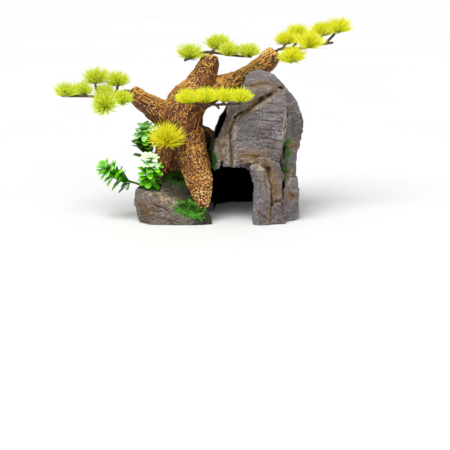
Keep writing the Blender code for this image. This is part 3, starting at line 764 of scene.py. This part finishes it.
def limb_coordinates(co, points, radii):
    """For each point: its place in the limb's own frame (across, across, along) and its distance in radii."""
    sides, ups = frames_along(points)
    lengths = np.concatenate([[0], np.cumsum(np.linalg.norm(np.diff(points, axis=0), axis=1))])
    smallest = np.full(len(co), 1e9)
    best = np.zeros(len(co))
    local = np.zeros((len(co), 3))
    for i in range(len(points) - 1):
        step = points[i + 1] - points[i]
        t = ((co - points[i]) @ step) / (step @ step)
        held = np.clip(t, START_OVERRUN if i == 0 else 0, END_OVERRUN if i == len(points) - 2 else 1)
        away = co - points[i] - held[:, None] * step
        radius = np.maximum(radii[i] + (radii[i + 1] - radii[i]) * np.clip(t, 0, 1), 2 * MM)
        distance = np.linalg.norm(away, axis=1)
        side = sides[i] + (sides[i + 1] - sides[i]) * held[:, None]
        up = ups[i] + (ups[i + 1] - ups[i]) * held[:, None]
        along = lengths[i] + held * np.linalg.norm(step)
        place = np.stack([(away * side).sum(1), (away * up).sum(1), along], 1)
        nearer = distance - radius < smallest
        smallest = np.where(nearer, distance - radius, smallest)
        best = np.where(nearer, distance / radius, best)
        local = np.where(nearer[:, None], place, local)
    return local, best


def bark_field(local, seed):
    """Furrows that part and join as they run along a limb, from 0 in a furrow to 1 on a crest."""
    p = local / MM
    warp = np.stack([gradient_noise(p / [7, 7, 12] + 5.7 * k, seed + k) for k in range(3)], 1)
    coarse = ridged(p / [5.0, 5.0, 17] + 0.6 * warp, seed + 11, 1)
    fine = ridged(p / [2.6, 2.6, 7] + 0.8 * warp, seed + 23, 1)
    beads = ridged(p / [2.0, 2.0, 2.8] + 0.6 * warp, seed + 37, 1)
    return np.clip(0.36 * coarse + 0.4 * fine + 0.36 * beads - 0.09, 0, 1)


def pebble_field(co, seed):
    """Rounded scales like pine-cone plates, from 0 between them to 1 on top."""
    p = co / MM
    warp = np.stack([gradient_noise(p / 6 + k * 3.1, seed + k) for k in range(3)], 1)
    first, second, owner = cells(p / [3.1, 3.1, 3.5] + 0.4 * warp, seed + 5)
    domes = smoothstep(0.0, 0.24, second - first) * (1.05 - 0.5 * first) * (0.72 + 0.28 * owner)
    grain = ridged(p / 1.8 + warp, seed + 9, 1)
    return np.clip(0.75 * domes + 0.3 * grain - 0.02, 0, 1)


GILDED = {"upper_limb": 0.14, "right_limb": 0.13}  # limbs that are brushed with more gold than the rest
PEBBLED = (0.36, 0.64)  # shares of the front root's height between which its scales turn into furrows


def tree_fields(co):
    """Bark relief blended over every limb, then how much of each point is pebbled root and rear root."""
    crown = middle("trunk")
    total, weight, root, rear = (np.zeros(len(co)) for _ in range(4))
    for i, node in enumerate(TREE_NODES):
        start = box_of(node)[0] if node == "trunk" else crown
        local, distance = limb_coordinates(co, *spine_of(node, start))
        closeness = np.exp(-7 * distance) + 1e-9
        field = bark_field(local, 200 + 17 * i) + GILDED.get(node, 0.0)
        if node == "front_root":
            low, high = box_of(node)
            down = 1 - smoothstep(*PEBBLED, (co[:, 2] - low[2]) / (high[2] - low[2]))
            field = field * (1 - down) + pebble_field(co, 400) * down
            root += closeness * down
        if node == "rear_root":
            rear += closeness
        total += closeness * field
        weight += closeness
    return total / weight, root / weight, rear / weight


def build_tree(material):
    piece = remeshed("tree_bark", TREE_NODES, BARK_VOXEL, JOINT_SWELL)
    mesh = piece.data
    pairs = edge_pairs(mesh)
    set_coordinates(mesh, relaxed(coordinates(mesh), pairs, 16))
    co, nrm = coordinates(mesh), normals(mesh)
    crest, root, rear = tree_fields(co)
    knots = fractal(co / (14 * MM), 91, 2)
    co = co + nrm * ((crest - 0.5) * 2.2 + knots * 0.9 + 0.3)[:, None] * MM
    set_coordinates(mesh, co)
    nrm = normals(mesh)
    fine = bulge(co, nrm, pairs, 3) / MM
    # painted light from above: bark that looks up gets more gold
    upward = smoothstep(0.1, 0.9, nrm[:, 2])
    brushed = 0.57 * crest + 0.4 * smoothstep(-0.25, 0.25, fine) + 0.26 * upward - 0.05
    store(mesh, "crest", np.clip(brushed, 0, 1))
    store(mesh, "root", root**1.6)
    store(mesh, "shade", 0.7 * smoothstep(0.3, 0.8, rear))
    return finished(piece, "ornament", material, TREE_NODES)


# ---------------------------------------------------------------- foliage


class Batch:
    """Collects many small shapes into one mesh, with one number per vertex in each named layer."""

    def __init__(self, *layers):
        self.points, self.faces, self.size = [], [], 0
        self.layers = {name: [] for name in layers}

    def add(self, points, faces, **values):
        self.faces.append(np.asarray(faces) + self.size)
        self.points.append(points)
        self.size += len(points)
        for name, rows in self.layers.items():
            rows.append(np.broadcast_to(values[name], len(points)))

    def build(self, name):
        mesh = bpy.data.meshes.new(name)
        faces = [face.tolist() for group in self.faces for face in group]
        mesh.from_pydata(np.concatenate(self.points).tolist(), [], faces)
        for layer, rows in self.layers.items():
            store(mesh, layer, np.concatenate(rows))
        return new_object(name, mesh)


def ring_faces(rings, sides):
    """Quads around a stack of rings of equal size. Both ends stay open: they are narrow or hidden."""
    faces = []
    for r in range(rings - 1):
        for s in range(sides):
            n = (s + 1) % sides
            faces.append([r * sides + s, r * sides + n, (r + 1) * sides + n, (r + 1) * sides + s])
    return faces


NEEDLE_SIDES = 3
NEEDLE_RINGS = 4
NEEDLE_FACES = np.array(ring_faces(NEEDLE_RINGS, NEEDLE_SIDES))
LEAF_THICK = 0.6 * MM


def needle(start, out, droop, length, width, rng):
    """A thin three-sided tapered spine that leaves start along out and bends towards droop."""
    steps = np.linspace(0, 1, NEEDLE_RINGS)
    path = start + np.outer(steps, out) * length + np.outer(steps**2, droop) * length * 0.35
    side = unit(np.cross(out, [0.31, 0.17, 0.93]))
    up = np.cross(out, side)
    taper = width * np.array([0.8, 1.0, 0.7, 0.12])
    turns = rng.uniform(0, 2) + np.arange(NEEDLE_SIDES) * 2 * np.pi / NEEDLE_SIDES
    wheel = np.outer(np.cos(turns), side) + np.outer(np.sin(turns), up)
    points = path[:, None, :] + wheel[None] * taper[:, None, None] / 2
    return points.reshape(-1, 3), np.repeat(steps, NEEDLE_SIDES)


def dome_of(node, twig):
    """A tuft's foot on its twig, the way it faces, and its radius and height, from the CAD solids."""
    mesh = frame["nodes"][node].data
    co = coordinates(mesh)
    centre = middle(node)
    spots = np.array([face.center for face in mesh.polygons])
    areas = np.array([face.area for face in mesh.polygons])
    spread = (spots - np.average(spots, axis=0, weights=areas)) * np.sqrt(areas)[:, None]
    facing = np.linalg.svd(spread, full_matrices=False)[2][2]
    twig_points = coordinates(frame["nodes"][twig].data)
    nearest = np.argsort(np.linalg.norm(twig_points - centre, axis=1))[:8]
    if (centre - twig_points[nearest].mean(0)) @ facing < 0:
        facing = -facing
    along = (co - centre) @ facing
    across = np.linalg.norm(co - centre - np.outer(along, facing), axis=1)
    return centre + facing * along.min(), facing, across.max(), along.max() - along.min()


def tuft(node, twig, body, material, look, rng):
    """A burst of needles on a CAD dome. look is the number of needles, how much wider and higher than the
    dome they reach, the cosine of the lowest needles' lean, and how far they turn up towards the light."""
    count, wider, higher, lowest, upturn = look
    foot, facing, radius, height = dome_of(node, twig)
    hub = foot + facing * 0.2 * height
    facing = unit(facing + np.array([0, 0, upturn]))
    batch = Batch("along", "tone")
    side = unit(np.cross(facing, [0.2, 0.9, 0.1]))
    up = np.cross(facing, side)
    for _ in range(count):
        turn = rng.uniform(0, 2 * np.pi)
        lean = math.acos(rng.uniform(lowest, 1.0))
        out = facing * math.cos(lean) + (side * math.cos(turn) + up * math.sin(turn)) * math.sin(lean)
        reach = 1 / math.hypot(math.sin(lean) / (wider * radius), math.cos(lean) / (higher * height))
        length = reach * rng.uniform(0.76, 1.1)
        start = hub + rng.normal(0, 0.12, 3) * radius + out * 0.05 * reach
        droop = rng.normal(0, 0.16, 3) + facing * 0.5 * math.sin(lean)
        points, steps = needle(start, out, droop, length, rng.uniform(0.75, 1.1) * MM, rng)
        batch.add(points, NEEDLE_FACES, along=steps, tone=rng.uniform(0, 1) ** 2)
    piece = batch.build(node.replace("tuft", "needles"))
    return finished(piece, body, material, [node])


# Each sprig's tufts: needles, then how much wider and higher than their CAD dome, the cosine of the lowest
# lean and the turn upwards.
TUFT_LOOKS = {
    "left": (380, 1.45, 1.02, -0.08, 0.0),
    "top": (400, 1.42, 0.85, 0.0, 0.0),
    "right": (400, 1.58, 1.02, -0.05, 0.0),
    "middle": (440, 1.6, 1.15, 0.08, 0.0),
    "front": (520, 1.25, 0.86, -0.12, 0.75),
}


def build_sprigs(twig_paint, needle_paints):
    for number, name in enumerate(SPRIGS):
        body = f"{name}_sprig"
        twig_node = f"{name}_twig"
        build_twig(twig_node, body, twig_paint, 500 + number)
        tufts = sorted(n for n in frame["record"]["behaviour"]["bodies"][body] if "_tuft_" in n)
        for i, node in enumerate(tufts):
            rng = np.random.default_rng(1000 + 50 * number + i)
            tuft(node, twig_node, body, needle_paints[name], TUFT_LOOKS[name], rng)


def build_twig(node, body, material, seed):
    """A twig or stem as an even, slightly knobbly tube."""
    piece = remeshed(node + "_skin", [node], TWIG_VOXEL)
    mesh = piece.data
    pairs = edge_pairs(mesh)
    co = relaxed(coordinates(mesh), pairs, 3)
    set_coordinates(mesh, co)
    co = co + normals(mesh) * (0.18 * MM + 0.22 * MM * fractal(co / (2.5 * MM), seed, 2))[:, None]
    set_coordinates(mesh, co)
    return finished(piece, body, material, [node])


LEAF_PLACES = np.array([0.0, 0.16, 0.34, 0.5, 0.64, 0.78, 0.88, 0.95, 0.985, 1.0])
LEAF_BROAD = 0.68  # where along its length a leaf is broadest
LEAF_SIDES = 6
LEAF_FACES = np.array(ring_faces(len(LEAF_PLACES), LEAF_SIDES))


def leaf(start, out, up, length, width, curl):
    """A paddle leaf: a narrow stalk that widens to a round, cupped blade."""
    side = unit(np.cross(out, up))
    up = np.cross(side, out)
    stalk = 0.14 + 0.86 * smoothstep(0.0, LEAF_BROAD, LEAF_PLACES) ** 1.1
    past = np.maximum(LEAF_PLACES - LEAF_BROAD, 0) / (1 - LEAF_BROAD)
    half = width / 2 * np.maximum(stalk * np.sqrt(1 - past**2.2), 0.1)
    turns = np.arange(LEAF_SIDES) * 2 * np.pi / LEAF_SIDES
    path = start + np.outer(LEAF_PLACES, out) * length + np.outer(LEAF_PLACES**2 * curl, up) * length
    points = []
    for centre, reach in zip(path, half):
        across = np.cos(turns) * reach
        height = np.sin(turns) * LEAF_THICK / 2 + 0.55 * across**2 / width
        points.append(centre + np.outer(across, side) + np.outer(height, up))
    return np.concatenate(points), np.repeat(LEAF_PLACES, LEAF_SIDES)


def whorl(node, body, axis, material, rng, look):
    """Leaves that spring from a stem in three tiers, the upper ones more upright."""
    leaves, rise, length, width, pale, tone = look
    low, high = box_of(node)
    centre = (low + high) / 2
    side = unit(np.cross(axis, [0.2, 0.9, 0.3]))
    other = np.cross(axis, side)
    batch = Batch("along", "tone", "pale")
    for i in range(leaves):
        tier = i % 3
        turn = 2.4 * i + rng.normal(0, 0.15)
        lift = math.radians(rise + 26 * (tier - 1)) + rng.normal(0, 0.1)
        spoke = side * math.cos(turn) + other * math.sin(turn)
        out = unit(spoke * math.cos(lift) + axis * math.sin(lift))
        start = centre + axis * (tier - 1) * 1.6 * MM + spoke * 0.7 * MM
        grown = rng.uniform(0.88, 1.08) * (1.0, 0.95, 0.8)[tier]
        long, broad = grown * length * MM, grown * width * MM
        points, steps = leaf(start, out, axis, long, broad, rng.uniform(-0.25, 0.12))
        bleached = pale * smoothstep(0.05, 0.6, steps) * rng.uniform(0.6, 1.0)
        darkness = np.clip(tone + rng.normal(0, 0.15), 0, 1)
        batch.add(points, LEAF_FACES, along=steps, tone=darkness, pale=bleached)
    piece = batch.build(node.replace("whorl", "leaves"))
    return finished(piece, body, material, [node])


# Each whorl from the foot of its stem up: leaves, their rise in degrees, length and width in mm, then how
# bleached and how dark they are.
WHORL_LOOKS = {
    "front": [
        (16, -14, 13, 7.5, 0.0, 0.75), (17, -4, 13.5, 7.5, 0.0, 0.45), (20, 4, 13.5, 7, 0.0, 0.15),
        (34, 12, 10.5, 6, 1.0, 0.0),
    ],
    "left": [
        (9, 55, 15, 7.5, 0.0, 0.85), (11, 45, 14, 7.5, 0.0, 0.5), (12, 42, 14, 7.5, 0.0, 0.15),
        (26, 36, 12, 6.5, 0.15, 0.0),
    ],
    "rear": [
        (14, 60, 17, 9, 0.0, 0.95), (15, 55, 17, 9, 0.0, 0.85), (15, 30, 15, 8, 0.0, 0.6),
        (28, 16, 12.5, 6, 0.25, 0.0),
    ],
}


def build_plants(stem_paint, leaf_paint):
    for number, name in enumerate(PLANTS):
        body = f"{name}_plant"
        build_twig(f"{name}_stem", body, stem_paint, 600 + number)
        nodes = sorted(n for n in frame["record"]["behaviour"]["bodies"][body] if "_whorl_" in n)
        directions = unit(np.gradient(np.array([middle(n) for n in nodes]), axis=0))
        for i, node in enumerate(nodes):
            rng = np.random.default_rng(2000 + 50 * number + i)
            whorl(node, body, directions[i], leaf_paint, rng, WHORL_LOOKS[name][i])


# ---------------------------------------------------------------- moss


# Each pad's flock: how far it strays past the pad in mm, how patchy it is, how shaded and how long in mm.
MOSS_LOOKS = {
    "front_moss": (4.0, 0.45, 0.0, 1.7),
    "root_moss": (6.0, 0.4, 0.75, 1.9),
    "crack_moss": (0.0, 1.1, 0.4, 1.0),
    "rim_moss": (1.5, 0.6, 0.65, 1.0),
}


MOST_FLOCK = 3000  # hairs on one pad


def build_moss(skins, material):
    """Short flock standing on the rock's own surface around each CAD pad."""
    for number, (node, host) in enumerate(MOSS_NODES.items()):
        stray, patchy, shade, tall = MOSS_LOOKS[node]
        rng = np.random.default_rng(3000 + number)
        mesh = skins[host].data
        co, nrm = coordinates(mesh), normals(mesh)
        low, high = box_of(node)
        centre, reach = (low + high) / 2, (high - low) / 2 + stray * MM
        away = np.linalg.norm((co - centre) / reach, axis=1)
        away = away + patchy * fractal(co / (5 * MM), 700 + number, 3)
        spots = np.flatnonzero(away < 0.85)
        batch = Batch("along", "tone", "shade")
        for k in rng.choice(spots, size=min(MOST_FLOCK, 3 * len(spots))):
            out = unit(nrm[k] + rng.normal(0, 0.45, 3))
            start = co[k] + rng.normal(0, 0.45 * MM, 3) - nrm[k] * 0.5 * MM
            length = tall * rng.uniform(0.65, 1.4) * MM
            points, steps = needle(start, out, rng.normal(0, 0.4, 3), length, 0.55 * MM, rng)
            batch.add(points, NEEDLE_FACES, along=steps, tone=rng.uniform(0, 1), shade=shade)
        piece = batch.build(node + "_flock")
        finished(piece, "ornament", material, [node])


# ---------------------------------------------------------------- stage


def build_stage():
    """A pale floor, a white surround and two broad, soft lights from above and from the front."""
    reach = 6.0
    corners = [(-reach, -reach, 0), (reach, -reach, 0), (reach, reach, 0), (-reach, reach, 0)]
    mesh = bpy.data.meshes.new("floor")
    mesh.from_pydata(corners, [], [(0, 1, 2, 3)])
    floor = new_object("floor", mesh)
    g = Graph("floor_white")
    tint = g.mix(g.spread(g.noise(3, 2), 0.3, 0.7), (0.84, 0.84, 0.85), (0.86, 0.86, 0.86))
    floor.data.materials.append(g.finish(tint, 0.6, None, Specular_IOR_Level=0.2))

    world = bpy.data.worlds.new("studio")
    bpy.context.scene.world = world
    world.use_nodes = True
    surround = world.node_tree.nodes["Background"]
    surround.inputs["Color"].default_value = (1, 1, 1, 1)
    surround.inputs["Strength"].default_value = 0.42
    add_sun("overhead", (-0.3, -0.45, 1.0), 2.7, 40)
    add_sun("front", (0.7, -1.0, 0.45), 0.65, 60)


def add_sun(name, towards, strength, angle):
    data = bpy.data.lights.new(name, "SUN")
    data.energy = strength
    data.angle = math.radians(angle)
    light = bpy.data.objects.new(name, data)
    bpy.context.scene.collection.objects.link(light)
    light.rotation_euler = Vector(towards).to_track_quat("Z", "Y").to_euler()


def build_camera():
    """In front of and above the ornament, tilted down so that it stands in the picture's upper half."""
    data = bpy.data.cameras.new("camera")
    data.lens = CAMERA_LENS
    data.sensor_width = CAMERA_SENSOR
    camera = bpy.data.objects.new("camera", data)
    bpy.context.scene.collection.objects.link(camera)
    camera.location = CAMERA_PLACE
    camera.rotation_euler = (math.radians(90 - CAMERA_DOWN), 0, 0)
    bpy.context.scene.camera = camera
    bpy.context.scene.view_settings.view_transform = "Standard"


def main():
    build_camera()
    build_stage()
    grey = rock_material(
        "cave_rock_paint", srgb(174, 171, 176), srgb(121, 114, 113), srgb(86, 78, 77), srgb(132, 102, 66),
    )
    earth = rock_material(
        "base_rock_paint", srgb(182, 176, 168), srgb(114, 104, 95), srgb(62, 53, 46), srgb(106, 74, 42),
    )
    skins = {CAVE: build_cave(grey), BASE: build_base(earth)}
    build_tree(bark_material())
    fresh = needle_material("needles_fresh", srgb(106, 134, 14), srgb(204, 220, 34), srgb(238, 244, 90))
    sunny = needle_material("needles_sunny", srgb(132, 148, 8), srgb(230, 230, 16), srgb(252, 248, 70))
    golden = needle_material("needles_golden", srgb(150, 148, 12), srgb(232, 222, 16), srgb(250, 242, 60))
    paints = {"left": fresh, "top": fresh, "right": sunny, "middle": sunny, "front": golden}
    build_sprigs(twig_material(), paints)
    build_plants(stem_material(), leaf_material())
    build_moss(skins, moss_material())


main()
